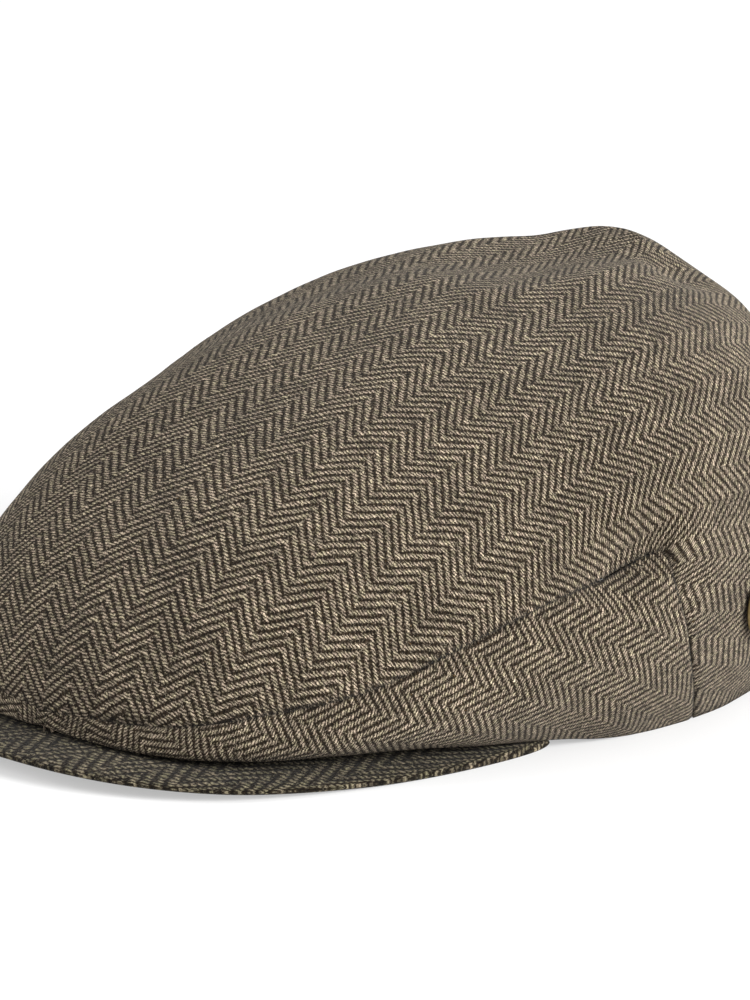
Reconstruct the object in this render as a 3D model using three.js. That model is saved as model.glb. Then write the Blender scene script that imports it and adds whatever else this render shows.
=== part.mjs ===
// A flat cap sewn from herringbone wool: one top panel that runs down the back, two side panels, a stiff peak
// and a small plain badge. Millimetres, +Z up, front towards -Y, wearer's left towards +X.
// The cap lies on Z = 0. Sizes are drawn from the middle of the head opening, then the whole cap is moved so that
// X = 0, Y = 0 is the middle of its length and width.
import * as THREE from "three";

// Head opening, measured to the outside of the hem
const openingLength = 196;
const openingWidth = 170;

// Crown, all measured from the middle of the head opening
const crownWidth = 194.6; // across its widest part, over the ends of the peak
const crownFront = 127.8; // how far it hangs out to the front, over the peak
const crownRear = 108.4;
const crownHeight = 102.7;
const crestSetback = 55; // the highest point lies this far behind the middle
const clothThickness = 2;
const seamGap = 0.3; // between two sewn pieces

// Peak
const peakDepth = 46.8; // from the hem to the peak's front edge
const peakWidth = 162.4;
const peakSetback = 37.8; // the peak's two ends lie this far ahead of the middle
const peakThickness = 2.6;
const peakArch = 3.8; // height of its underside at the centre
const peakTuck = 1.5; // width of the peak under the hem
const peakRoundness = 0.81; // 1 is an ellipse, less is squarer
const peakEndWidth = 0.25; // the blade narrows to this share of its width at its two ends
const peakEndPower = 14; // and the higher this is, the later it starts to narrow
const archSpan = 0.92; // share of the peak's width that its arch spans

// Badge on the wearer's left
const badgeDiameter = 17;
const badgeThickness = 2.2;
const badgeRim = 1.6;

// Shape of the crown, one row for each 30 degrees round it, from the front to the back, the same on both sides.
// across and along give the outermost line as shares of half the width and of the front or rear reach,
// shoulder is that line's height as a share of the crown's height, spread and rise give how full the cloth is
// between that line and the crest (1 is an ellipse, less is fuller), and tuck how it turns in below the line.
const sections = [
  { across: 0.0, along: -1.0, shoulder: 0.066, spread: 1.1, rise: 1.06, tuck: 1.0 },
  { across: 0.516, along: -0.91, shoulder: 0.068, spread: 1.12, rise: 1.0, tuck: 1.03 },
  { across: 0.865, along: -0.51, shoulder: 0.166, spread: 1.16, rise: 1.06, tuck: 1.13 },
  { across: 1.0, along: -0.056, shoulder: 0.298, spread: 1.04, rise: 0.98, tuck: 1.27 },
  { across: 0.864, along: 0.446, shoulder: 0.403, spread: 1.1, rise: 0.99, tuck: 1.51 },
  { across: 0.471, along: 0.86, shoulder: 0.439, spread: 1.01, rise: 1.02, tuck: 1.59 },
  { across: 0.0, along: 1.0, shoulder: 0.507, spread: 0.96, rise: 1.01, tuck: 1.6 },
];

// The side seam: how far up the cloth, from the hem (0) to the crest (1), it lies at these angles from the front.
const sideSeam = [
  { angle: 0, up: 0.138 },
  { angle: 20, up: 0.157 },
  { angle: 36, up: 0.17 },
  { angle: 48, up: 0.171 },
  { angle: 56, up: 0.19 },
  { angle: 66, up: 0.223 },
  { angle: 76, up: 0.257 },
  { angle: 89, up: 0.298 },
  { angle: 130, up: 0.4 },
  { angle: 180, up: 0.46 },
];
const rearSeamAngle = 89; // the upright seam behind the side panel, at its top corner
const rearSeamLean = 8; // how many degrees further back its foot lies
const leanReach = 40; // the cloth beside it leans too, fading out over this many degrees

// Dents and ridges of the worn-in cloth, as heights over the smooth shape
const dents = [
  { name: "pucker ahead of the seam corner", angle: 82, up: 0.275, height: -2.2, reach: 9 },
  { name: "fullness over the seam corner", angle: 92, up: 0.38, height: 1.4, reach: 16 },
  { name: "hollow over the peak's end", angle: 72, up: 0.06, height: -3, reach: 8 },
  { name: "ridge behind the crest", angle: 162, up: 0.87, height: 2.0, reach: 12 },
  { name: "hollow below that ridge", angle: 142, up: 0.78, height: -1.5, reach: 10 },
  { name: "fullness at the back", angle: 154, up: 0.64, height: 1.6, reach: 14 },
];

// How finely the cloth is divided
const sideColumns = 19;
const backColumns = 16;
const underRows = [0, 0.33, 0.66, 0.92]; // rows from the hem to the fold over it, as shares of that stretch
const seamRows = [0.12, 0.4, 0.7, 1]; // rows from that fold to the side seam's line, likewise
const topRows = 17;
const profileSteps = 60;
const peakColumns = 44;
const badgeSides = 32;

const radians = THREE.MathUtils.degToRad;
const halfOpening = { x: openingWidth / 2, y: openingLength / 2 };
const seamAngle = radians(rearSeamAngle);
const crest = new THREE.Vector3(0, crestSetback, crownHeight);

// Smooth round trip through one column of the sections: a cosine series, or a sine series where the left and
// right sides differ in sign.
function around(values, angle, mirrored) {
  const last = values.length - 1;
  let sum = 0;
  for (let wave = 0; wave <= last; wave++) {
    let weight = 0;
    values.forEach((value, row) => {
      const share = row === 0 || row === last ? 0.5 : 1;
      const at = (Math.PI * row * wave) / last;
      weight += mirrored ? value * Math.sin(at) : share * value * Math.cos(at);
    });
    const ends = !mirrored && (wave === 0 || wave === last) ? 0.5 : 1;
    sum += ((2 * ends * weight) / last) * (mirrored ? Math.sin(wave * angle) : Math.cos(wave * angle));
  }
  return sum;
}

const column = (name) => sections.map((row) => row[name]);
const outline = {
  x: sections.map((row) => (row.across * crownWidth) / 2),
  y: sections.map((row) => row.along * (row.along < 0 ? crownFront : crownRear)),
};
const shoulders = column("shoulder");
const spreads = column("spread");
const rises = column("rise");
const tucks = column("tuck");

// Height of the peak's underside: an arch across the head that comes down to the floor before its sides.
function peakUnderside(x) {
  const halfSpan = archSpan * (peakWidth / 2);
  return peakArch * Math.max(0, 1 - (x / halfSpan) ** 2);
}

// The hem lies on the peak at the front and on the floor behind the peak's ends.
const peakEndAngle = Math.atan2(
  halfOpening.x * Math.sqrt(1 - (peakSetback / halfOpening.y) ** 2),
  crestSetback + peakSetback,
);
const hemDropStart = radians(1.6); // past the peak's end
const hemDropEnd = radians(10);
function hemHeight(x, bearing) {
  const onPeak = peakUnderside(x) + peakThickness + seamGap;
  const pastPeak = Math.abs(bearing) - peakEndAngle;
  return onPeak * (1 - THREE.MathUtils.smoothstep(pastPeak, hemDropStart, hemDropEnd));
}

// Where a ray from the crest's foot meets the oval of the head opening.
function hemReach(direction) {
  const a = (direction.x / halfOpening.x) ** 2 + (direction.y / halfOpening.y) ** 2;
  const b = (2 * crestSetback * direction.y) / halfOpening.y ** 2;
  const c = (crestSetback / halfOpening.y) ** 2 - 1;
  return (-b + Math.sqrt(b * b - 4 * a * c)) / (2 * a);
}

// The cloth's line from the hem up to the crest at one angle round the crown, with the length up to each point.
const profiles = new Map();
function profile(angle) {
  if (!profiles.has(angle)) profiles.set(angle, drawProfile(angle));
  return profiles.get(angle);
}

function drawProfile(angle) {
  const foot = new THREE.Vector2(
    around(outline.x, angle, true),
    around(outline.y, angle, false) - crestSetback,
  );
  const shoulderReach = foot.length();
  const direction = foot.divideScalar(shoulderReach);
  const hem = hemReach(direction);
  const hemZ = hemHeight(hem * direction.x, Math.atan2(direction.x, -direction.y));
  const shoulderZ = around(shoulders, angle, false) * crownHeight;
  const spread = around(spreads, angle, false);
  const rise = around(rises, angle, false);
  const tuck = around(tucks, angle, false);
  const points = [];
  for (let i = 0; i <= 2 * profileSteps; i++) {
    const below = i < profileSteps;
    const turn = ((i % profileSteps) / profileSteps) * (Math.PI / 2);
    const sin = i === 2 * profileSteps ? 1 : Math.sin(turn);
    const cos = i === 2 * profileSteps ? 0 : Math.cos(turn);
    const reach = below ? hem + (shoulderReach - hem) * sin ** tuck : shoulderReach * cos ** spread;
    const z = below ? shoulderZ - (shoulderZ - hemZ) * cos : shoulderZ + (crownHeight - shoulderZ) * sin ** rise;
    points.push(new THREE.Vector3(reach * direction.x, crestSetback + reach * direction.y, z));
  }
  const lengths = [0];
  for (let i = 1; i < points.length; i++) lengths.push(lengths[i - 1] + points[i].distanceTo(points[i - 1]));
  return { points, lengths };
}

// A point on the smooth crown: up runs along the cloth from 0 at the hem to 1 at the crest.
function smoothPoint(angle, up) {
  const { points, lengths } = profile(angle);
  const total = lengths[lengths.length - 1];
  const wanted = THREE.MathUtils.clamp(up, 0, 1) * total;
  let i = 1;
  while (i < points.length - 1 && lengths[i] < wanted) i++;
  const share = (wanted - lengths[i - 1]) / (lengths[i] - lengths[i - 1]);
  const point = points[i - 1].clone().lerp(points[i], share);
  return { point, total };
}

const smallTurn = 0.01;
const smallStep = 0.004;
function smoothNormal(angle, up) {
  if (up > 1 - smallStep) return new THREE.Vector3(0, 0, 1);
  const low = Math.max(up - smallStep, 0);
  const across = smoothPoint(angle + smallTurn, up).point.sub(smoothPoint(angle - smallTurn, up).point);
  const upward = smoothPoint(angle, up + smallStep).point.sub(smoothPoint(angle, low).point);
  return across.cross(upward).normalize();
}

// Each dent is on both sides of the cap.
const dentCentres = dents.flatMap(({ angle, up, height, reach }) =>
  [1, -1].map((side) => ({ centre: smoothPoint(side * radians(angle), up).point, height, reach })),
);

// The cloth's outer and inner surface at one place.
function cloth(angle, up) {
  const { point, total } = smoothPoint(angle, up);
  const normal = smoothNormal(angle, up);
  const swell = dentCentres.reduce(
    (sum, dent) => sum + dent.height * Math.exp(-((point.distanceTo(dent.centre) / dent.reach) ** 2)),
    0,
  );
  const outside = point.clone().addScaledVector(normal, up > 0 ? swell : 0);
  const inside = outside.clone().addScaledVector(normal, -clothThickness);
  if (up === 0) {
    const inward = new THREE.Vector3(-normal.x, -normal.y, 0).normalize();
    inside.copy(outside).addScaledVector(inward, clothThickness);
  }
  return { outside, inside, total };
}

// A closed sheet: cells are lists of corner names, anticlockwise from outside, and corner gives each name's
// outer and inner point. Open borders are closed by a wall.
function sheet(name, cells, corner, material) {
  const numbers = new Map();
  const positions = [];
  const vertex = (key, side) => {
    const id = side + key;
    if (!numbers.has(id)) {
      numbers.set(id, numbers.size);
      positions.push(...corner(key)[side].toArray());
    }
    return numbers.get(id);
  };
  const triangles = [];
  const borders = new Set();
  for (const cell of cells) {
    const outer = cell.map((key) => vertex(key, "outside"));
    const inner = cell.map((key) => vertex(key, "inside"));
    for (let i = 2; i < cell.length; i++) {
      triangles.push(outer[0], outer[i - 1], outer[i], inner[0], inner[i], inner[i - 1]);
    }
    cell.forEach((key, i) => {
      const next = cell[(i + 1) % cell.length];
      if (!borders.delete(next + ">" + key)) borders.add(key + ">" + next);
    });
  }
  for (const border of borders) {
    const [from, to] = border.split(">");
    const wall = [vertex(from, "outside"), vertex(from, "inside"), vertex(to, "inside"), vertex(to, "outside")];
    // Pieces that meet split their facing walls along the same diagonal, so that the gap stays even
    const split = from < to ? [0, 1, 2, 0, 2, 3] : [0, 1, 3, 1, 2, 3];
    triangles.push(...split.map((i) => wall[i]));
  }
  const geometry = new THREE.BufferGeometry();
  geometry.setAttribute("position", new THREE.Float32BufferAttribute(positions, 3));
  geometry.setIndex(triangles);
  geometry.computeVertexNormals();
  const mesh = new THREE.Mesh(geometry, material);
  mesh.name = name;
  return mesh;
}

// Height of the side seam's line on the cloth, smooth between the rows of its table.
const seamCurve = new THREE.CatmullRomCurve3(sideSeam.map((row) => new THREE.Vector3(row.angle, row.up, 0)));
const seamPoints = seamCurve.getPoints(10 * (sideSeam.length - 1));
function seamUp(angle) {
  const degrees = THREE.MathUtils.radToDeg(Math.abs(angle));
  const found = seamPoints.findIndex((point) => point.x > degrees);
  const next = found < 1 ? seamPoints.length - 1 : found;
  const before = seamPoints[next - 1];
  const share = (degrees - before.x) / (seamPoints[next].x - before.x);
  return before.y + share * (seamPoints[next].y - before.y);
}
const cornerUp = seamUp(seamAngle);

// Columns run round the crown: 0 is the front, side columns lie over the peak, back columns behind the seam.
const columns = sideColumns + backColumns;
const sideRows = underRows.length + seamRows.length - 1;
const rows = sideRows + topRows;
function columnAngle(number, up, panel) {
  const place = Math.abs(number);
  const plain =
    place <= sideColumns
      ? (place / sideColumns) * seamAngle
      : seamAngle + ((place - sideColumns) / backColumns) * (Math.PI - seamAngle);
  const near = Math.max(0, 1 - Math.abs(plain - seamAngle) / radians(leanReach));
  const below = Math.max(0, 1 - up / cornerUp);
  const lean = radians(rearSeamLean) * below * near * near * (3 - 2 * near);
  const onLine = plain + lean;
  let shift = 0;
  if (panel === "side" && place === sideColumns) shift = -halfGapAngle(onLine, up);
  if (panel === "side" && place < 1) shift = halfGapAngle(onLine, up);
  if (panel === "top" && place === sideColumns && up < cornerUp) shift = halfGapAngle(onLine, up);
  return (number < 0 ? -1 : 1) * (onLine + shift);
}

// How far up the cloth a row of corners lies at one angle.
function rowUp(row, angle) {
  const seam = seamUp(angle);
  if (row > sideRows) return seam + ((1 - seam) * (row - sideRows)) / topRows;
  const { lengths } = profile(angle);
  const fold = lengths[profileSteps] / lengths[2 * profileSteps];
  if (row < underRows.length) return fold * underRows[row];
  return fold + (seam - fold) * seamRows[row - underRows.length];
}

// Half the gap between two pieces that meet along an upright seam, as an angle round the crown.
function halfGapAngle(angle, up) {
  const ahead = smoothPoint(angle - smallTurn, up).point;
  const stretch = smoothPoint(angle + smallTurn, up).point.distanceTo(ahead) / (2 * smallTurn);
  return seamGap / 2 / stretch;
}

// Corner names are "column,row", with the right side's columns negative and the crest one shared corner.
const cornerName = (number, row) => (row === rows ? "crest" : `${number === -columns ? columns : number},${row}`);
function clothCorner(panel, side) {
  return (key) => {
    if (key === "crest") return { outside: crest, inside: crest.clone().setZ(crownHeight - clothThickness) };
    const [number, row] = key.split(",").map(Number);
    const signed = number === 0 ? side * 1e-9 : number;
    let up = 0;
    for (let pass = 0; pass < 3; pass++) up = rowUp(row, columnAngle(signed, up, panel));
    const angle = columnAngle(signed, up, panel);
    const onSeam = row === sideRows && Math.abs(number) <= sideColumns;
    if (onSeam) up += ((panel === "side" ? -1 : 1) * seamGap) / 2 / smoothPoint(angle, up).total;
    return cloth(angle, up);
  };
}

function cellsBetween(fromColumn, toColumn, fromRow, toRow) {
  const cells = [];
  for (let number = fromColumn; number < toColumn; number++) {
    for (let row = fromRow; row < toRow; row++) {
      const cell = [
        cornerName(number, row),
        cornerName(number + 1, row),
        cornerName(number + 1, row + 1),
        cornerName(number, row + 1),
      ];
      cells.push(cell.filter((key, i) => cell.indexOf(key) === i));
    }
  }
  return cells;
}

const wool = new THREE.MeshStandardMaterial({ color: 0x6e6350, roughness: 0.95 });
const peakWool = new THREE.MeshStandardMaterial({ color: 0x5c5242, roughness: 0.95 });
const brass = new THREE.MeshStandardMaterial({ color: 0x9a8455, roughness: 0.45, metalness: 0.9 });

function topPanel() {
  const cells = [
    ...cellsBetween(-sideColumns, sideColumns, sideRows, rows),
    ...cellsBetween(sideColumns, columns, 0, rows),
    ...cellsBetween(-columns, -sideColumns, 0, rows),
  ];
  return sheet("crown_top_panel", cells, clothCorner("top", 1), wool);
}

function sidePanel(name, side) {
  const cells = side > 0 ? cellsBetween(0, sideColumns, 0, sideRows) : cellsBetween(-sideColumns, 0, 0, sideRows);
  return sheet(name, cells, clothCorner("side", side), wool);
}

// The peak: a thin arched blade between the hem and its own outer edge, thinned to a rounded rim.
const peakRows = [
  { out: 0, thick: 1 },
  { out: 0.3, thick: 1 },
  { out: 0.6, thick: 1 },
  { out: 0.85, thick: 1 },
  { out: 0.96, thick: 0.85 },
  { out: 1, thick: 0.45 },
];
function peak() {
  const front = -(halfOpening.y + peakDepth);
  const endTurn = Math.acos(peakSetback / halfOpening.y);
  const corner = (key) => {
    const [number, row] = key.split(",").map(Number);
    const share = (2 * number) / peakColumns - 1;
    const turn = (share * Math.PI) / 2;
    const inner = new THREE.Vector2(
      (halfOpening.x - peakTuck) * Math.sin(share * endTurn),
      -(halfOpening.y - peakTuck) * Math.cos(share * endTurn),
    );
    const outer = new THREE.Vector2(
      (peakWidth / 2) * Math.sign(turn) * Math.abs(Math.sin(turn)) ** peakRoundness,
      -peakSetback + (front + peakSetback) * Math.max(Math.cos(turn), 0) ** peakRoundness,
    );
    const { out, thick } = peakRows[row];
    const width = peakEndWidth + (1 - peakEndWidth) * Math.sqrt(1 - share ** peakEndPower);
    const place = inner.lerp(outer, out * width);
    const underside = peakUnderside(place.x);
    const slack = ((1 - thick) * peakThickness) / 2;
    return {
      outside: new THREE.Vector3(place.x, place.y, underside + peakThickness - slack),
      inside: new THREE.Vector3(place.x, place.y, underside + (row === peakRows.length - 1 ? slack : 0)),
    };
  };
  const cells = [];
  for (let number = 0; number < peakColumns; number++) {
    for (let row = 0; row < peakRows.length - 1; row++) {
      cells.push([`${number},${row + 1}`, `${number + 1},${row + 1}`, `${number + 1},${row}`, `${number},${row}`]);
    }
  }
  return sheet("peak", cells, corner, peakWool);
}

// A plain round badge on the wearer's left, behind the side panel.
const badgePlace = { angle: radians(109), up: 0.186 };
function badge() {
  const radius = badgeDiameter / 2;
  const bevel = badgeRim / 4;
  const outlinePoints = [
    [0, 0],
    [radius - bevel, 0],
    [radius, bevel],
    [radius, badgeThickness - bevel],
    [radius - bevel, badgeThickness],
    [radius - badgeRim + bevel, badgeThickness],
    [radius - badgeRim, badgeThickness - 2 * bevel],
    [radius / 2, badgeThickness - bevel],
    [0, badgeThickness - bevel / 2],
  ].map(([x, y]) => new THREE.Vector2(x, y));
  const mesh = new THREE.Mesh(new THREE.LatheGeometry(outlinePoints, badgeSides), brass);
  mesh.name = "badge";
  const normal = smoothNormal(badgePlace.angle, badgePlace.up);
  mesh.position.copy(cloth(badgePlace.angle, badgePlace.up).outside).addScaledVector(normal, seamGap);
  mesh.quaternion.setFromUnitVectors(new THREE.Vector3(0, 1, 0), normal);
  return mesh;
}

const cap = new THREE.Group();
cap.name = "flat_cap";
cap.position.y = (openingLength / 2 + peakDepth - crownRear) / 2;
cap.add(topPanel(), sidePanel("side_panel_left", 1), sidePanel("side_panel_right", -1), peak(), badge());

export default cap;
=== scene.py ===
import math

import bmesh
import bpy
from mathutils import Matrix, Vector, kdtree, noise


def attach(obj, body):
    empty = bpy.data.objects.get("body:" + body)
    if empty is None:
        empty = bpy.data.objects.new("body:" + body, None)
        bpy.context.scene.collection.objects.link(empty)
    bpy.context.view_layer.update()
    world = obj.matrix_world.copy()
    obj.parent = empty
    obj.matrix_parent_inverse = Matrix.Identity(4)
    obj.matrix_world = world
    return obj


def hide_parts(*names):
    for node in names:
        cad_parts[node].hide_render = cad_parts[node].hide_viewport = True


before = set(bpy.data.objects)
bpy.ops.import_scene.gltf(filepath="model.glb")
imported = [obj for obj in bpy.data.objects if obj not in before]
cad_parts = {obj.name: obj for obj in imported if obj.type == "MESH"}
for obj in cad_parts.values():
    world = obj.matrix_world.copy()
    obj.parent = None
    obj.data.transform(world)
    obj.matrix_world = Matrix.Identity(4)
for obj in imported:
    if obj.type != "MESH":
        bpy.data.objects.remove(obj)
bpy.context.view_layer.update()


def mm(value):
    return value / 1000


def linear(code):  # "#rrggbb" as it looks on screen, to the linear colour that a shader takes
    parts = [int(code[i : i + 2], 16) / 255 for i in (1, 3, 5)]
    return [p / 12.92 if p <= 0.04045 else ((p + 0.055) / 1.055) ** 2.4 for p in parts] + [1]


# One node with its settings. A value that is a node or a socket feeds the input of that name or number.
def addNode(tree, kind, settings=None):
    node = tree.nodes.new("ShaderNode" + kind)
    plain = {name: value for name, value in (settings or {}).items() if isinstance(name, str)}
    for name, value in plain.items():
        if name not in node.inputs:
            setattr(node, name, value)
    for name, value in (settings or {}).items():
        if isinstance(name, str) and name not in node.inputs:
            continue
        if isinstance(value, bpy.types.Node):
            value = value.outputs[0]
        if isinstance(value, bpy.types.NodeSocket):
            tree.links.new(value, node.inputs[name])
        else:
            node.inputs[name].default_value = value
    return node


def smoothStep(low, high, value):
    share = min(max((value - low) / (high - low), 0), 1)
    return share * share * (3 - 2 * share)


def newMaterial(name):
    material = bpy.data.materials.new(name)
    material.use_nodes = True
    material.node_tree.nodes.clear()
    return material


def activate(piece):
    bpy.ops.object.select_all(action="DESELECT")
    piece.select_set(True)
    bpy.context.view_layer.objects.active = piece


def newPiece(name, sheet):
    mesh = bpy.data.meshes.new(name)
    sheet.to_mesh(mesh)
    sheet.free()
    piece = bpy.data.objects.new(name, mesh)
    bpy.context.scene.collection.objects.link(piece)
    return piece


def applyModifiers(piece):
    depsgraph = bpy.context.evaluated_depsgraph_get()
    mesh = bpy.data.meshes.new_from_object(piece.evaluated_get(depsgraph))
    old = piece.data
    piece.modifiers.clear()
    piece.data = mesh
    bpy.data.meshes.remove(old)


def finishPiece(piece, material, nodeName):
    for face in piece.data.polygons:
        face.use_smooth = True
    piece.data.materials.clear()
    piece.data.materials.append(material)
    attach(piece, "root")
    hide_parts(nodeName)


# Wool herringbone as it is woven: dark warp along the columns, lighter heather weft across them, each over two
# and under two. The step turns round at each column and the yarns change places there. The eye sees ropes of
# short light strokes with dark ropes between, softened by the brushed wool's fibres, in a mix of olive,
# brown-purple and tan.
weave = {
    "yarn": 0.77,  # mm from one yarn to the next, so that a twill line repeats every 2.2 mm
    "columnYarns": 11,
    "weft": "#a79984",
    # painted shade: weftShade and warpShade are the shaded sides of each yarn and the gaps between yarns
    "weftShade": "#2a2218",  # the sides of a light yarn
    "warp": "#33281b",
    "warpShade": "#0c0703",
    "tan": "#94713f",
    "hair": "#a89d8a",
}


def herringboneWool(name, tone=1.0, tint="#ffffff"):
    material = newMaterial(name)
    tree = material.node_tree
    yarn = weave["yarn"]
    half = (0.5, 0.5, 0.5)
    flat = addNode(tree, "UVMap", {"uv_map": "clothGrain"})

    # the yarns wander a little: a slow drift over centimetres and a small wobble over a millimetre or two
    drift = addNode(tree, "TexNoise", {"Scale": 0.06, "Detail": 2.0, "Vector": flat})
    driftMove = addNode(tree, "VectorMath", {"operation": "SUBTRACT", 0: drift.outputs["Color"], 1: half})
    driftSize = addNode(tree, "VectorMath", {"operation": "SCALE", 0: driftMove, "Scale": 1.6})
    wobble = addNode(tree, "TexNoise", {"Scale": 0.75, "Detail": 3.0, "Roughness": 0.7, "Vector": flat})
    wobbleMove = addNode(tree, "VectorMath", {"operation": "SUBTRACT", 0: wobble.outputs["Color"], 1: half})
    wobbleSize = addNode(tree, "VectorMath", {"operation": "SCALE", 0: wobbleMove, "Scale": 1.55})
    drifted = addNode(tree, "VectorMath", {"operation": "ADD", 0: flat, 1: driftSize})
    moved = addNode(tree, "VectorMath", {"operation": "ADD", 0: drifted, 1: wobbleSize})
    place = addNode(tree, "SeparateXYZ", {0: moved})
    across, along = place.outputs[0], place.outputs[1]

    # which column, how far across it in yarns, and which way its twill climbs
    inColumns = addNode(tree, "Math", {"operation": "DIVIDE", 0: across, 1: yarn * weave["columnYarns"]})
    column = addNode(tree, "Math", {"operation": "FLOOR", 0: inColumns})
    odd = addNode(tree, "Math", {"operation": "FLOORED_MODULO", 0: column, 1: 2.0})
    way = addNode(tree, "Math", {"operation": "MULTIPLY_ADD", 0: odd, 1: -2.0, 2: 1.0})
    share = addNode(tree, "Math", {"operation": "FRACT", 0: inColumns})
    warps = addNode(tree, "Math", {"operation": "MULTIPLY", 0: share, 1: weave["columnYarns"]})
    inWarp = addNode(tree, "Math", {"operation": "FRACT", 0: warps})
    warp = addNode(tree, "Math", {"operation": "FLOOR", 0: warps})
    wefts = addNode(tree, "Math", {"operation": "DIVIDE", 0: along, 1: yarn})
    inWeft = addNode(tree, "Math", {"operation": "FRACT", 0: wefts})
    weft = addNode(tree, "Math", {"operation": "FLOOR", 0: wefts})

    # over two, under two; in the odd columns the other yarn is on top where the columns meet
    climbed = addNode(tree, "Math", {"operation": "MULTIPLY_ADD", 0: warps, 1: way, 2: weft})
    cut = addNode(tree, "Math", {"operation": "MULTIPLY_ADD", 0: odd, 1: 3.0, 2: climbed})
    repeats = addNode(tree, "Math", {"operation": "DIVIDE", 0: cut, 1: 4.0})
    phase = addNode(tree, "Math", {"operation": "FRACT", 0: repeats})
    floatNumber = addNode(tree, "Math", {"operation": "FLOOR", 0: repeats})
    turn = addNode(tree, "Math", {"operation": "MULTIPLY_ADD", 0: phase, 1: 2 * math.pi, 2: -math.pi / 2})
    rise = addNode(tree, "Math", {"operation": "COSINE", 0: turn})
    frays = addNode(tree, "TexNoise", {"Scale": 1.7, "Detail": 2.0, "Vector": flat})
    frayed = addNode(tree, "Math", {"operation": "MULTIPLY_ADD", 0: frays.outputs[0], 1: 3.2, 2: rise})
    weftOnTop = addNode(tree, "MapRange", {"interpolation_type": "SMOOTHSTEP", 0: frayed, 1: 0.75, 2: 2.2})
    weftTurn = addNode(tree, "Math", {"operation": "MULTIPLY", 0: inWeft, 1: math.pi})
    weftRound = addNode(tree, "Math", {"operation": "SINE", 0: weftTurn})
    warpTurn = addNode(tree, "Math", {"operation": "MULTIPLY", 0: inWarp, 1: math.pi})
    warpRound = addNode(tree, "Math", {"operation": "SINE", 0: warpTurn})

    # fibres lie along each yarn, so their noise is drawn out along the weft and along the warp
    alongWeft = addNode(tree, "VectorMath", {"operation": "MULTIPLY", 0: moved, 1: (1.1, 5.0, 1.0)})
    weftFibres = addNode(tree, "TexNoise", {"Scale": 1.0, "Detail": 2.0, "Vector": alongWeft})
    alongWarp = addNode(tree, "VectorMath", {"operation": "MULTIPLY", 0: moved, 1: (5.0, 1.1, 1.0)})
    warpFibres = addNode(tree, "TexNoise", {"Scale": 1.0, "Detail": 2.0, "Vector": alongWarp})

    # the light yarn: its rounded top is painted light and its sides are painted in shade
    weftLit = addNode(tree, "Math", {"operation": "POWER", 0: weftRound, 1: 2.2})
    weftStrand = addNode(tree, "MapRange", {0: weftFibres.outputs[0], 1: 0.32, 2: 0.62, 3: 0.3, 4: 1.25})
    weftMix = addNode(tree, "Math", {"operation": "MULTIPLY", 0: weftLit, 1: weftStrand, "use_clamp": True})
    weftColour = addNode(
        tree, "Mix", {"data_type": "RGBA", 0: weftMix, 6: linear(weave["weftShade"]), 7: linear(weave["weft"])}
    )
    # the dark yarn: painted shade towards its sides as well
    warpMix = addNode(tree, "Math", {"operation": "MULTIPLY", 0: warpRound, 1: warpFibres.outputs[0]})
    warpColour = addNode(
        tree, "Mix", {"data_type": "RGBA", 0: warpMix, 6: linear(weave["warpShade"]), 7: linear(weave["warp"])}
    )
    woven = addNode(
        tree, "Mix", {"data_type": "RGBA", 0: weftOnTop, 6: warpColour.outputs[2], 7: weftColour.outputs[2]}
    )

    # heather: each float, each patch of a few millimetres and each few centimetres has its own tone
    ids = addNode(tree, "CombineXYZ", {0: floatNumber, 1: weft, 2: column})
    floatTone = addNode(tree, "TexWhiteNoise", {"noise_dimensions": "3D", "Vector": ids})
    patches = addNode(tree, "TexNoise", {"Scale": 0.35, "Detail": 2.0, "Vector": flat})
    clouds = addNode(tree, "TexNoise", {"Scale": 0.045, "Detail": 2.0, "Vector": flat})
    toneA = addNode(tree, "Math", {"operation": "MULTIPLY_ADD", 0: floatTone, 1: 0.5, 2: 0.75})
    toneB = addNode(tree, "Math", {"operation": "MULTIPLY_ADD", 0: patches.outputs[0], 1: 0.9, 2: 0.55})
    toneC = addNode(tree, "Math", {"operation": "MULTIPLY_ADD", 0: clouds.outputs[0], 1: 0.7, 2: 0.65})
    toneAB = addNode(tree, "Math", {"operation": "MULTIPLY", 0: toneA, 1: toneB})
    grains = addNode(tree, "TexNoise", {"Scale": 2.4, "Detail": 1.0, "Vector": flat})
    toneD = addNode(tree, "MapRange", {0: grains.outputs[0], 1: 0.3, 2: 0.7, 3: 0.45, 4: 1.5})
    toneCD = addNode(tree, "Math", {"operation": "MULTIPLY", 0: toneC, 1: toneD})
    toneABC = addNode(tree, "Math", {"operation": "MULTIPLY", 0: toneAB, 1: toneCD})
    heather = addNode(tree, "TexNoise", {"Scale": 0.55, "Detail": 1.0, "Vector": drifted})
    hues = addNode(tree, "ValToRGB", {0: heather.outputs[0]})
    ramp = hues.color_ramp
    ramp.elements[0].position = 0.34
    ramp.elements[0].color = (0.97, 1.015, 0.93, 1)
    ramp.elements[1].position = 0.66
    ramp.elements[1].color = (1.03, 0.985, 1.03, 1)
    neutral = ramp.elements.new(0.5)
    neutral.color = (1, 1, 1, 1)
    hued = addNode(tree, "VectorMath", {"operation": "MULTIPLY", 0: woven.outputs[2], 1: hues.outputs[0]})
    toned = addNode(tree, "VectorMath", {"operation": "SCALE", 0: hued, "Scale": toneABC})

    # single dyed fibres: rare specks of tan and dark blue-green
    specks = addNode(tree, "TexNoise", {"Scale": 1.3, "Detail": 1.0, "Vector": drifted})
    tanSpeck = addNode(
        tree, "MapRange", {"interpolation_type": "SMOOTHSTEP", 0: specks.outputs[0], 1: 0.70, 2: 0.80, 4: 0.2}
    )
    withTan = addNode(tree, "Mix", {"data_type": "RGBA", 0: tanSpeck, 6: toned.outputs[0], 7: linear(weave["tan"])})

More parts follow.
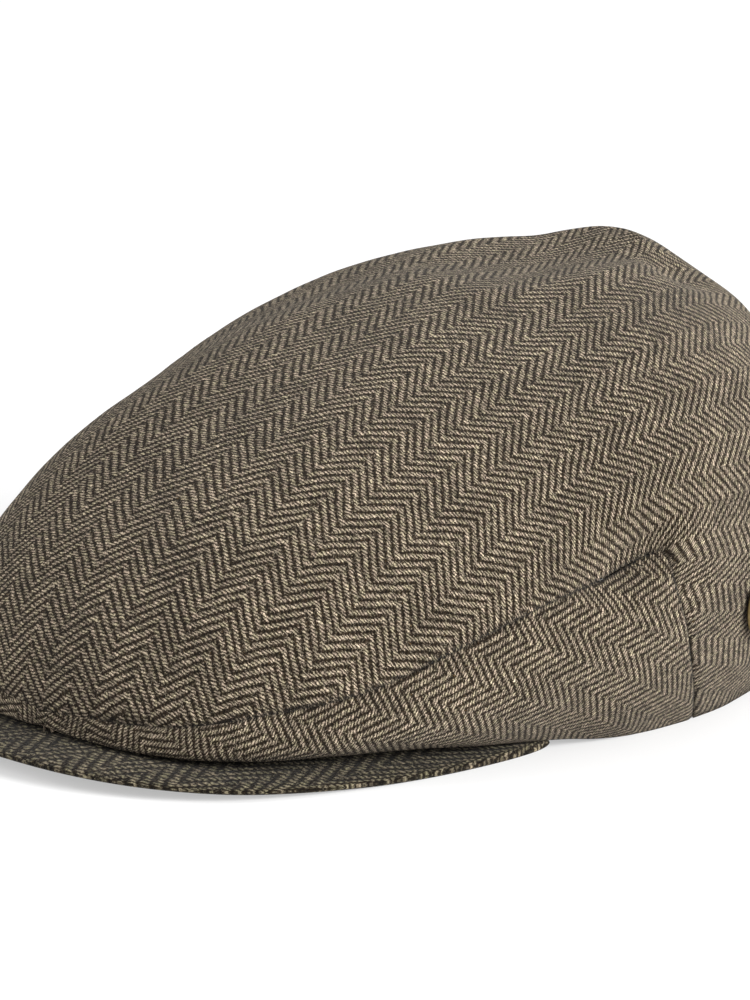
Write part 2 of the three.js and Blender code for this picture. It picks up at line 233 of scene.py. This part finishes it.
    # loose hairs lie over the weave as thin curling lines
    curls = addNode(tree, "TexNoise", {"Scale": 0.42, "Detail": 1.0, "Distortion": 0.6, "Vector": flat})
    nearCurl = addNode(tree, "Math", {"operation": "COMPARE", 0: curls.outputs[0], 1: 0.5, 2: 0.0085})
    hairPatch = addNode(tree, "TexNoise", {"Scale": 0.8, "Detail": 0.0, "Vector": flat})
    hairHere = addNode(
        tree, "MapRange", {"interpolation_type": "SMOOTHSTEP", 0: hairPatch.outputs[0], 1: 0.5, 2: 0.62, 4: 0.4}
    )
    hair = addNode(tree, "Math", {"operation": "MULTIPLY", 0: nearCurl, 1: hairHere})
    withHair = addNode(
        tree, "Mix", {"data_type": "RGBA", 0: hair, 6: withTan.outputs[2], 7: linear(weave["hair"])}
    )

    # painted shade in the groove of a seam: darker near a sewn edge, more here and less there, as between stitches
    seam = addNode(tree, "Attribute", {"attribute_name": "seamDistance"})
    stitches = addNode(tree, "TexNoise", {"Scale": 0.28, "Detail": 1.0, "Vector": flat})
    seamEdge = addNode(tree, "MapRange", {0: stitches.outputs[0], 1: 0.35, 2: 0.65, 3: 0.35, 4: 1.3})
    paintedSeamShade = addNode(
        tree,
        "MapRange",
        {"interpolation_type": "SMOOTHSTEP", 0: seam.outputs["Fac"], 1: 0.0, 2: seamEdge, 3: 0.4, 4: 1.0},
    )
    withSeamShade = addNode(tree, "VectorMath", {"operation": "SCALE", 0: withHair.outputs[2], "Scale": paintedSeamShade})
    tinted = addNode(tree, "VectorMath", {"operation": "MULTIPLY", 0: withSeamShade, 1: linear(tint)[:3]})
    final = addNode(tree, "VectorMath", {"operation": "SCALE", 0: tinted, "Scale": tone})

    weftHeight = addNode(tree, "Math", {"operation": "MULTIPLY", 0: weftOnTop, 1: weftRound})
    warpUp = addNode(tree, "Math", {"operation": "SUBTRACT", 0: 1.0, 1: weftOnTop})
    warpHeight = addNode(tree, "Math", {"operation": "MULTIPLY", 0: warpUp, 1: warpRound})
    warpLow = addNode(tree, "Math", {"operation": "MULTIPLY", 0: warpHeight, 1: 0.7})
    height = addNode(tree, "Math", {"operation": "MAXIMUM", 0: weftHeight, 1: warpLow})
    fibreHeight = addNode(tree, "Math", {"operation": "MULTIPLY_ADD", 0: weftFibres.outputs[0], 1: 0.5, 2: height})
    bump = addNode(tree, "Bump", {"Strength": 0.8, "Distance": mm(0.3), "Height": fibreHeight})
    shader = addNode(
        tree,
        "BsdfPrincipled",
        {
            "Base Color": final,
            "Roughness": 0.95,
            "Specular IOR Level": 0.1,
            "Sheen Weight": 0.04,
            "Sheen Roughness": 0.5,
            "Normal": bump,
        },
    )
    addNode(tree, "OutputMaterial", {"Surface": shader})
    return material


crownWool = herringboneWool("brushed herringbone wool")
sideWool = crownWool
# the peak takes the same wool with painted shade: its colour is darkened to 0.45 and tinted faintly green
peakWoolInShade = herringboneWool("herringbone wool of the peak in painted shade", 0.45, "#fbfff4")
print("cloth materials made")

clothPanel = {
    "poleRings": 4,
    "flattening": "MINIMUM_STRETCH",
    "grainReach": mm(25),  # how far from its place the grain's direction is measured
    "levels": {"crown_top_panel": 2, "side_panel_left": 3, "side_panel_right": 3},
    "wall": mm(1.8),
    "seamClosing": mm(0.2),  # how far a sewn edge goes towards its neighbour
    "seamDepth": mm(0.55),  # how far a sewn edge is drawn in
    "seamReach": mm(0.9),
    "easeDepth": mm(0.5),  # the soft valley along a seam, deeper here and shallower there
    "easeReach": mm(5.0),
    "easeSize": mm(17),
    "wave": mm(0.6),  # gentle unevenness of worn-in cloth
    "waveSize": mm(34),
    "ripple": mm(0.16),
    "rippleSize": mm(9),
}


def looseCopy(nodeName):
    sheet = bmesh.new()
    sheet.from_mesh(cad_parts[nodeName].data)
    bmesh.ops.remove_doubles(sheet, verts=sheet.verts, dist=mm(0.01))
    return sheet


# Takes away the fan of narrow triangles round each pole, so that a grid can be filled in there.
def openPoles(sheet, rings):
    for ring in range(rings):
        if ring == 0:
            poles = [v for v in sheet.verts if len(v.link_edges) > 20]
        else:
            poles = [v for v in sheet.verts if v.is_boundary]
        bmesh.ops.delete(sheet, geom=poles, context="VERTS")


# The CAD splits every cell of its grid along the same diagonal, so the diagonals are found from one of them by
# walking from triangle to triangle, and dissolved.
def joinIntoQuads(sheet):
    def squareness(face):
        lengths = sorted(edge.calc_length() for edge in face.edges)
        return abs(lengths[2] - math.sqrt(2) * lengths[0]) + abs(lengths[1] - lengths[0])

    first = min(sheet.faces, key=squareness)
    diagonals = {first: max(first.edges, key=lambda edge: edge.calc_length())}
    waiting = [first]
    while waiting:
        face = waiting.pop()
        diagonal = diagonals[face]
        for edge in face.edges:
            for near in edge.link_faces:
                if near in diagonals:
                    continue
                start = next((v for v in edge.verts if v not in diagonal.verts), None)
                diagonals[near] = next((e for e in near.edges if e is not edge and start in e.verts), edge)
                waiting.append(near)
    inside = [edge for edge in set(diagonals.values()) if len(edge.link_faces) == 2]
    bmesh.ops.dissolve_edges(sheet, edges=inside, use_verts=False, use_face_split=False)


# Keeps only the outer face of a CAD panel, as a sheet of quads. A corner is on the outer face when the faces
# round it look away from the middle of the head hollow.
def outerSheet(nodeName):
    sheet = looseCopy(nodeName)
    openPoles(sheet, clothPanel["poleRings"])
    hollowMiddle = Vector((0, mm(15), mm(35)))

    def facing(face):
        away = (face.calc_center_median() - hollowMiddle).normalized()
        return face.normal.dot(away) ** 3 * face.calc_area()

    inner = [v for v in sheet.verts if sum(facing(face) for face in v.link_faces) < 0]
    bmesh.ops.delete(sheet, geom=inner, context="VERTS")
    joinIntoQuads(sheet)
    return sheet


# Fills the hole left at the crest with a grid that carries on the cloth's curve.
def fillCrest(piece, above):
    activate(piece)
    bpy.ops.object.mode_set(mode="EDIT")
    bpy.ops.mesh.select_mode(type="EDGE")
    bpy.ops.mesh.select_all(action="DESELECT")
    sheet = bmesh.from_edit_mesh(piece.data)
    for edge in sheet.edges:
        edge.select = edge.is_boundary and all(v.co.z > above for v in edge.verts)
    bmesh.update_edit_mesh(piece.data)
    ring = sum(edge.select for edge in sheet.edges)
    bpy.ops.mesh.fill_grid(span=ring // 4, offset=0)
    bpy.ops.object.mode_set(mode="OBJECT")


# Lays the sheet flat as its pattern was cut, in millimetres, with the weave's columns along v.
# At place the columns run along grain.
def layFlat(piece, place, grain, shift=(0, 0), settle=None, fineness=1):
    piece.data.uv_layers.new(name="clothGrain")
    activate(piece)
    bpy.ops.object.mode_set(mode="EDIT")
    bpy.ops.mesh.select_all(action="SELECT")
    bpy.ops.uv.unwrap(method=clothPanel["flattening"], fill_holes=True, correct_aspect=False, margin=0)
    bpy.ops.object.mode_set(mode="OBJECT")
    mesh = piece.data
    flat = mesh.uv_layers["clothGrain"].uv
    turn = Vector((0, 0))
    ratios = []
    middle = Vector((0, 0))
    nearest = 1e9
    for face in mesh.polygons:
        loops = list(face.loop_indices)
        points = [mesh.vertices[mesh.loops[i].vertex_index].co for i in loops]
        spots = [flat[i].vector.copy() for i in loops]
        for i in range(len(loops)):
            ratios.append((points[i] - points[i - 1]).length / max((spots[i] - spots[i - 1]).length, 1e-9))
        away = (face.center - place).length
        if away < nearest:
            nearest = away
            middle = spots[0]
        if away < clothPanel["grainReach"]:
            a = points[1] - points[0]
            b = points[-1] - points[0]
            run = grain - face.normal * grain.dot(face.normal)
            aa, ab, bb = a.dot(a), a.dot(b), b.dot(b)
            ra, rb = run.dot(a), run.dot(b)
            det = aa * bb - ab * ab
            s = (ra * bb - rb * ab) / det
            t = (rb * aa - ra * ab) / det
            turn += s * (spots[1] - spots[0]) + t * (spots[-1] - spots[0])
    ratios.sort()
    scale = ratios[len(ratios) // 2] * 1000
    low, high = ratios[len(ratios) // 20] * 1000 / scale, ratios[-len(ratios) // 20] * 1000 / scale
    print(piece.name, "laid flat, stretch", round(1 / high, 2), "to", round(1 / low, 2))
    turn.normalize()
    for spot in flat:
        away = (spot.vector - middle) * scale
        across, along = away.x * turn.y - away.y * turn.x, away.x * turn.x + away.y * turn.y
        if settle:
            across += settle(across, along)
        spot.vector = (across * fineness + shift[0], along * fineness + shift[1])


# Dents and swellings of this worn-in cap that the photo shows: place, height and reach in millimetres.
wornShape = [
    # the pucker over the corner where the two seams meet, and the fold behind it
    {"place": (92, 8, 50), "height": -4.6, "reach": 6},
    {"place": (91, 0, 47.5), "height": -4.0, "reach": 6},
    {"place": (89.7, -10, 45), "height": -2.4, "reach": 7},
    {"place": (87, 3, 60), "height": 1.2, "reach": 8},
    {"place": (94.5, 19, 52), "height": 1.4, "reach": 7},
    {"place": (97, 15, 40), "height": -1.3, "reach": 6},
    # the crest's rear end
    {"place": (22, 87, 97), "height": -2.6, "reach": 11},
]


# Draws sewn edges in and stores how far each point is from them, for the painted seam shade in the material.
def workTheCloth(piece):
    mesh = piece.data
    sheet = bmesh.new()
    sheet.from_mesh(mesh)
    sheet.normal_update()
    sewn = []
    for edge in sheet.edges:
        if not edge.is_boundary:
            continue
        a, b = edge.verts[0].co, edge.verts[1].co
        isHem = max(a.z, b.z) < mm(9) and abs(a.z - b.z) < 0.35 * (a - b).length
        if not isHem:
            sewn.append((a.copy(), b.copy()))
    tree = kdtree.KDTree(3 * len(sewn))
    for i, (a, b) in enumerate(sewn):
        for j in range(3):
            tree.insert(a.lerp(b, j / 3), 3 * i + j)
    tree.balance()
    layer = sheet.verts.layers.float.new("seamDistance")
    moves = []
    for v in sheet.verts:
        distance = tree.find(v.co)[2]
        # towards the front the seam is pressed flat and goes out of sight
        flatter = max(smoothStep(mm(9), mm(24), abs(v.co.x)), smoothStep(mm(-60), mm(-30), v.co.y))
        # the stored distance is larger where the seam lies flat, so the painted seam shade fades there
        v[layer] = distance * 1000 + 3 * (1 - flatter)
        drawn = clothPanel["seamDepth"] * math.exp(-((distance / clothPanel["seamReach"]) ** 2)) * flatter
        ease = 0.5 + 0.9 * noise.noise(v.co / clothPanel["easeSize"])
        drawn += max(ease, 0) * clothPanel["easeDepth"] * math.exp(-((distance / clothPanel["easeReach"]) ** 2))
        wave = clothPanel["wave"] * noise.noise(v.co / clothPanel["waveSize"])
        wave += clothPanel["ripple"] * noise.noise(v.co / clothPanel["rippleSize"])
        for dent in wornShape:
            away = (v.co * 1000 - Vector(dent["place"])).length / dent["reach"]
            wave += mm(dent["height"]) * math.exp(-away * away)
        closed = Vector((0, 0, 0))
        if v.is_boundary and distance < mm(0.02):
            inward = sum((face.calc_center_median() - v.co for face in v.link_faces), Vector((0, 0, 0)))
            inward -= v.normal * inward.dot(v.normal)
            closed = inward.normalized() * -clothPanel["seamClosing"]
        moves.append((v, v.normal * (wave - drawn) + closed))
    for v, move in moves:
        v.co += move
    sheet.to_mesh(mesh)
    sheet.free()


def clothPiece(nodeName, pieceName, place, grain, material, shift=(0, 0), settle=None, fineness=1):
    piece = newPiece(pieceName, outerSheet(nodeName))
    if nodeName == "crown_top_panel":
        fillCrest(piece, mm(90))
    layFlat(piece, place, grain, shift, settle, fineness)
    smoother = piece.modifiers.new("smoother", "SUBSURF")
    smoother.levels = smoother.render_levels = clothPanel["levels"][nodeName]
    smoother.boundary_smooth = "PRESERVE_CORNERS"
    applyModifiers(piece)
    workTheCloth(piece)
    wall = piece.modifiers.new("wall", "SOLIDIFY")
    wall.thickness = clothPanel["wall"]
    wall.offset = -1
    applyModifiers(piece)
    finishPiece(piece, material, nodeName)
    return piece


crownGrain = math.radians(0)

# How far the columns of the crown, in millimetres across, lie from where a flat cut would put them: the cloth
# was eased a little to one side over the front, and drawn up at both sides of the back.
crownSettle = {"front": 12, "frontMiddle": 18, "frontWidth": 25, "back": 40, "backWidth": 30}


def settleCrown(across, along):
    left = (1 - math.tanh((across - crownSettle["frontMiddle"]) / crownSettle["frontWidth"])) / 2
    front = crownSettle["front"] * left * smoothStep(20, -90, along)
    back = crownSettle["back"] * math.tanh(across / crownSettle["backWidth"]) * smoothStep(25, 165, along)
    return front + back


crownPanel = clothPiece(
    "crown_top_panel",
    "crown_panel_cloth",
    Vector((0, mm(-20), mm(88))),
    Vector((math.sin(crownGrain), math.cos(crownGrain), 0)),
    crownWool,
    (-3.7, 0),
    settleCrown,
)
sideGrain = math.radians(-27.5)
for side, sideName in ((1, "left"), (-1, "right")):
    clothPiece(
        "side_panel_" + sideName,
        "side_panel_cloth_" + sideName,
        Vector((mm(94) * side, mm(5), mm(25))),
        Vector((0, math.cos(sideGrain), math.sin(sideGrain))),
        sideWool,
        fineness=1.28,
    )
print("crown panels made")


# The blade's ends run on back under the hem. The weave is pulled lengthwise over the blade and looks coarser.
peakCloth = {"endBack": mm(6), "endReach": (mm(58), mm(81)), "across": 0.85, "along": 0.5}


def buildPeak():
    sheet = looseCopy("peak")
    bmesh.ops.join_triangles(
        sheet, faces=sheet.faces, angle_face_threshold=math.radians(60), angle_shape_threshold=math.radians(180)
    )
    piece = newPiece("peak_cloth", sheet)
    smoother = piece.modifiers.new("smoother", "SUBSURF")
    smoother.levels = smoother.render_levels = 2
    applyModifiers(piece)
    mesh = piece.data
    for v in mesh.vertices:
        v.co.y += peakCloth["endBack"] * smoothStep(*peakCloth["endReach"], abs(v.co.x))
    mesh.uv_layers.new(name="clothGrain")
    flat = mesh.uv_layers["clothGrain"].uv
    top = max(v.co.z for v in mesh.vertices)
    for loop in mesh.loops:
        v = mesh.vertices[loop.vertex_index]
        outward = Vector((v.normal.x, v.normal.y))
        drop = top - v.co.z
        spread = (Vector((v.co.x, v.co.y)) + outward * drop) * 1000
        flat[loop.index].vector = (spread.x * peakCloth["across"], spread.y * peakCloth["along"])
    mesh.attributes.new("seamDistance", "FLOAT", "POINT")
    for item in mesh.attributes["seamDistance"].data:
        item.value = 10
    finishPiece(piece, peakWoolInShade, "peak")
    return piece


peakPiece = buildPeak()


def agedBrass():
    material = newMaterial("aged brass")
    tree = material.node_tree
    place = addNode(tree, "TexCoord")
    spots = addNode(tree, "TexNoise", {"Scale": 900.0, "Detail": 4.0, "Vector": place.outputs["Object"]})
    mix = addNode(
        tree, "Mix", {"data_type": "RGBA", 0: spots.outputs[0], 6: linear("#8f7a4e"), 7: linear("#c9b687")}
    )
    bump = addNode(tree, "Bump", {"Strength": 0.25, "Distance": mm(0.1), "Height": spots.outputs[0]})
    shader = addNode(
        tree, "BsdfPrincipled", {"Base Color": mix.outputs[2], "Metallic": 1.0, "Roughness": 0.38, "Normal": bump}
    )
    addNode(tree, "OutputMaterial", {"Surface": shader})
    return material


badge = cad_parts["badge"]
badge.data.materials.clear()
badge.data.materials.append(agedBrass())

# A white table under soft light: an even bright room, a large soft light at the camera's right, a weaker one
# at its left and a faint one behind.
studio = {
    "room": 0.62,
    "table": "#b4b4b4",
    "tableGlow": 0.45,  # keeps the white table white under the cap too, as in the picture
    "lights": [
        {"name": "window", "place": (1.6, 0.2, 0.75), "size": 1.0, "power": 54.0},
        {"name": "front", "place": (-1.2, -1.3, 0.9), "size": 1.2, "power": 21.0},
        {"name": "back", "place": (-0.9, 1.7, 0.8), "size": 1.2, "power": 12.0},
    ],
}


def buildStudio():
    world = bpy.data.worlds.new("room")
    bpy.context.scene.world = world
    world.use_nodes = True
    world.node_tree.nodes["Background"].inputs[0].default_value = (1, 1, 1, 1)
    world.node_tree.nodes["Background"].inputs[1].default_value = studio["room"]
    for setup in studio["lights"]:
        light = bpy.data.lights.new(setup["name"], "AREA")
        light.shape = "DISK"
        light.size = setup["size"]
        light.energy = setup["power"]
        lamp = bpy.data.objects.new(setup["name"], light)
        lamp.location = setup["place"]
        lamp.rotation_mode = "QUATERNION"
        lamp.rotation_quaternion = (Vector((0, 0, 0.03)) - lamp.location).to_track_quat("-Z", "Y")
        bpy.context.scene.collection.objects.link(lamp)
    sheet = bmesh.new()
    bmesh.ops.create_grid(sheet, x_segments=1, y_segments=1, size=30)
    floor = newPiece("studio_floor", sheet)
    material = newMaterial("white table")
    tree = material.node_tree
    shader = addNode(
        tree,
        "BsdfPrincipled",
        {
            "Base Color": linear(studio["table"]),
            "Roughness": 0.9,
            "Specular IOR Level": 0.1,
            "Emission Color": (1, 1, 1, 1),
            "Emission Strength": studio["tableGlow"],
        },
    )
    addNode(tree, "OutputMaterial", {"Surface": shader})
    floor.data.materials.append(material)


buildStudio()

# The camera was fitted to the photo's outline: where it looks from, and the pixel that the target falls on.
cameraSetup = {
    "azimuth": 46.22,
    "elevation": 14.02,
    "distance": 1.7,
    "target": (0, 0.0182, 0.050),
    "targetPixel": (421.34, 471.2),
    "pixelsPerMetre": 3947.0,
    "frame": (750, 1000),
}


def buildCamera():
    turn, tilt = math.radians(cameraSetup["azimuth"]), math.radians(cameraSetup["elevation"])
    right = Vector((math.cos(turn), math.sin(turn), 0))
    back = Vector((math.sin(turn) * math.cos(tilt), -math.cos(turn) * math.cos(tilt), math.sin(tilt)))
    up = back.cross(right)
    width, height = cameraSetup["frame"]
    offRight = (width / 2 - cameraSetup["targetPixel"][0]) / cameraSetup["pixelsPerMetre"]
    offUp = (cameraSetup["targetPixel"][1] - height / 2) / cameraSetup["pixelsPerMetre"]
    aim = Vector(cameraSetup["target"]) + right * offRight + up * offUp
    data = bpy.data.cameras.new("camera")
    data.sensor_width = 36
    data.lens = 36 * cameraSetup["distance"] * cameraSetup["pixelsPerMetre"] / height
    data.clip_start = 0.01
    data.clip_end = 100
    camera = bpy.data.objects.new("camera", data)
    camera.location = aim + back * cameraSetup["distance"]
    camera.rotation_mode = "QUATERNION"
    camera.rotation_quaternion = back.to_track_quat("Z", "Y")
    bpy.context.scene.collection.objects.link(camera)
    bpy.context.scene.camera = camera


buildCamera()
bpy.context.scene.view_settings.view_transform = "Standard"
bpy.context.scene.view_settings.look = "None"
